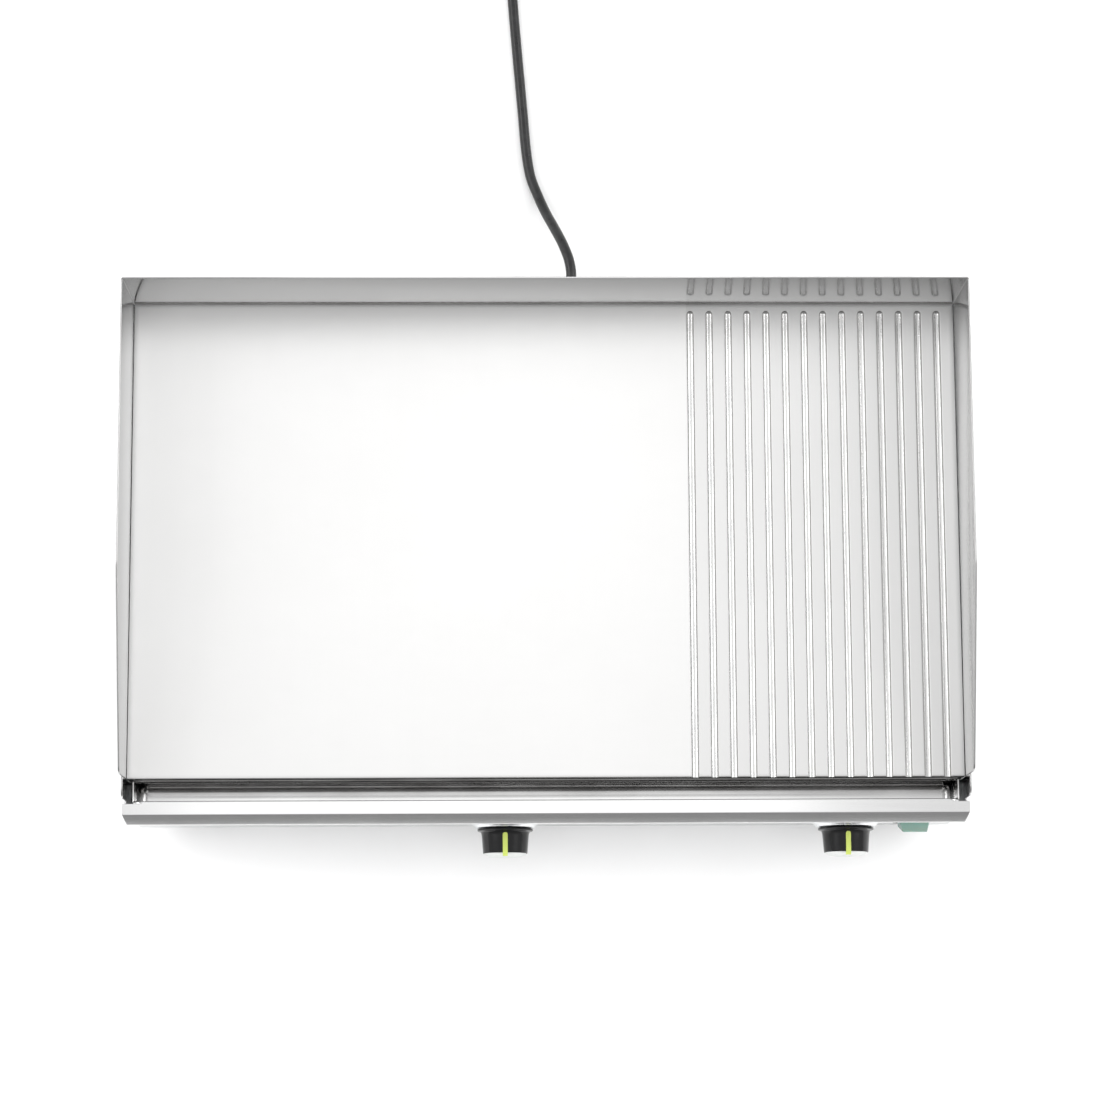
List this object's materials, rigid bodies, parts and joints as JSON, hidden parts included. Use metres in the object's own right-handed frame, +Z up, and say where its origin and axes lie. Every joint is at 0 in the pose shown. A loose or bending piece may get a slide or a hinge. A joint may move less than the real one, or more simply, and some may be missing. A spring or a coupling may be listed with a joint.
{
  "type": "flat top griddle",
  "caption": "Countertop electric griddle with a smooth and a grooved zone, three-sided splash guard, lift-out front grease tray, two dial knobs and a rocker switch.",
  "frame": {"origin": "middle of the griddle's footprint on the surface it stands on, measured without the cord", "axes": "+X along the front to the right as the cook sees it, +Y from the front to the rear, +Z up"},
  "size_m": [0.731, 0.9743, 0.245],
  "materials": {
    "stainless_sheet": "fine satin grain, bright",
    "polished_plate": "ground and polished cooking surface",
    "galvanised_sheet": "dull zinc-coated sheet",
    "knob_black": "black satin thermoset",
    "cap_silver": "silver satin disc",
    "pointer_lime": "lime green inlay",
    "bezel_silver": "turned bright aluminium",
    "switch_black": "black moulded housing",
    "switch_green": "translucent green rocker",
    "thermostat_grey": "grey moulded housing",
    "element_sheath": "heat-tinted sheath",
    "insulation_wool": "pressed mineral fibre",
    "foot_rubber": "black rubber",
    "cord_rubber": "black rubber sheath, slight sheen",
    "plug_rubber": "black moulded rubber",
    "pin_brass": "nickel-plated brass",
    "ceramic_white": "unglazed porcelain",
    "screw_steel": "plated steel"
  },
  "bodies": {
    "housing": {"griddle_plate": "polished_plate", "rear_splash": "stainless_sheet", "left_splash": "stainless_sheet", "right_splash": "stainless_sheet", "left_cheek": "stainless_sheet", "right_cheek": "stainless_sheet", "left_tray_rest": "galvanised_sheet", "right_tray_rest": "galvanised_sheet", "left_side_panel": "stainless_sheet", "right_side_panel": "stainless_sheet", "rear_cover": "stainless_sheet", "front_panel": "stainless_sheet", "floor_plate": "galvanised_sheet", "cover_screw_lower_left": "screw_steel", "cover_screw_upper_left": "screw_steel", "cover_screw_lower_right": "screw_steel", "cover_screw_upper_right": "screw_steel", "foot_front_left": "foot_rubber", "foot_front_right": "foot_rubber", "foot_rear_left": "foot_rubber", "foot_rear_right": "foot_rubber", "left_bezel": "bezel_silver", "left_thermostat": "thermostat_grey", "left_capillary": "element_sheath", "left_sensor_bulb": "element_sheath", "left_element": "element_sheath", "left_element_clamp": "galvanised_sheet", "right_bezel": "bezel_silver", "right_thermostat": "thermostat_grey", "right_capillary": "element_sheath", "right_sensor_bulb": "element_sheath", "right_element": "element_sheath", "right_element_clamp": "galvanised_sheet", "switch_housing": "switch_black", "insulation_board": "insulation_wool", "heat_shield": "galvanised_sheet", "terminal_block": "ceramic_white", "safety_cutout": "thermostat_grey", "cord_gland": "knob_black", "cord_relief": "cord_rubber", "supply_cord": "cord_rubber", "cord_coil": "cord_rubber", "plug_body": "plug_rubber", "plug_pin_near": "pin_brass", "plug_pin_far": "pin_brass"},
    "tray": {"grease_tray": "stainless_sheet", "left_tray_end": "stainless_sheet", "right_tray_end": "stainless_sheet"},
    "left_control": {"left_knob": "knob_black", "left_pointer": "pointer_lime", "left_knob_cap": "cap_silver", "left_knob_shaft": "screw_steel"},
    "right_control": {"right_knob": "knob_black", "right_pointer": "pointer_lime", "right_knob_cap": "cap_silver", "right_knob_shaft": "screw_steel"},
    "rocker": {"switch_rocker": "switch_green"}
  },
  "joints": [
    {"name": "left_knob_turn", "type": "hinge", "parent": "housing", "child": "left_control", "pos_m": [-0.036, -0.21075, 0.087], "axis": [0, 1, 0], "range_deg": [0, 270]},
    {"name": "right_knob_turn", "type": "hinge", "parent": "housing", "child": "right_control", "pos_m": [0.265, -0.21075, 0.087], "axis": [0, 1, 0], "range_deg": [0, 270]},
    {"name": "switch_rock", "type": "hinge", "parent": "housing", "child": "rocker", "pos_m": [0.325, -0.21125, 0.087], "axis": [-1, 0, 0], "range_deg": [0, 30]},
    {"name": "tray_lift", "type": "slide", "parent": "housing", "child": "tray", "axis": [0, 0, 1], "range_m": [0, 0.09]}
  ]
}
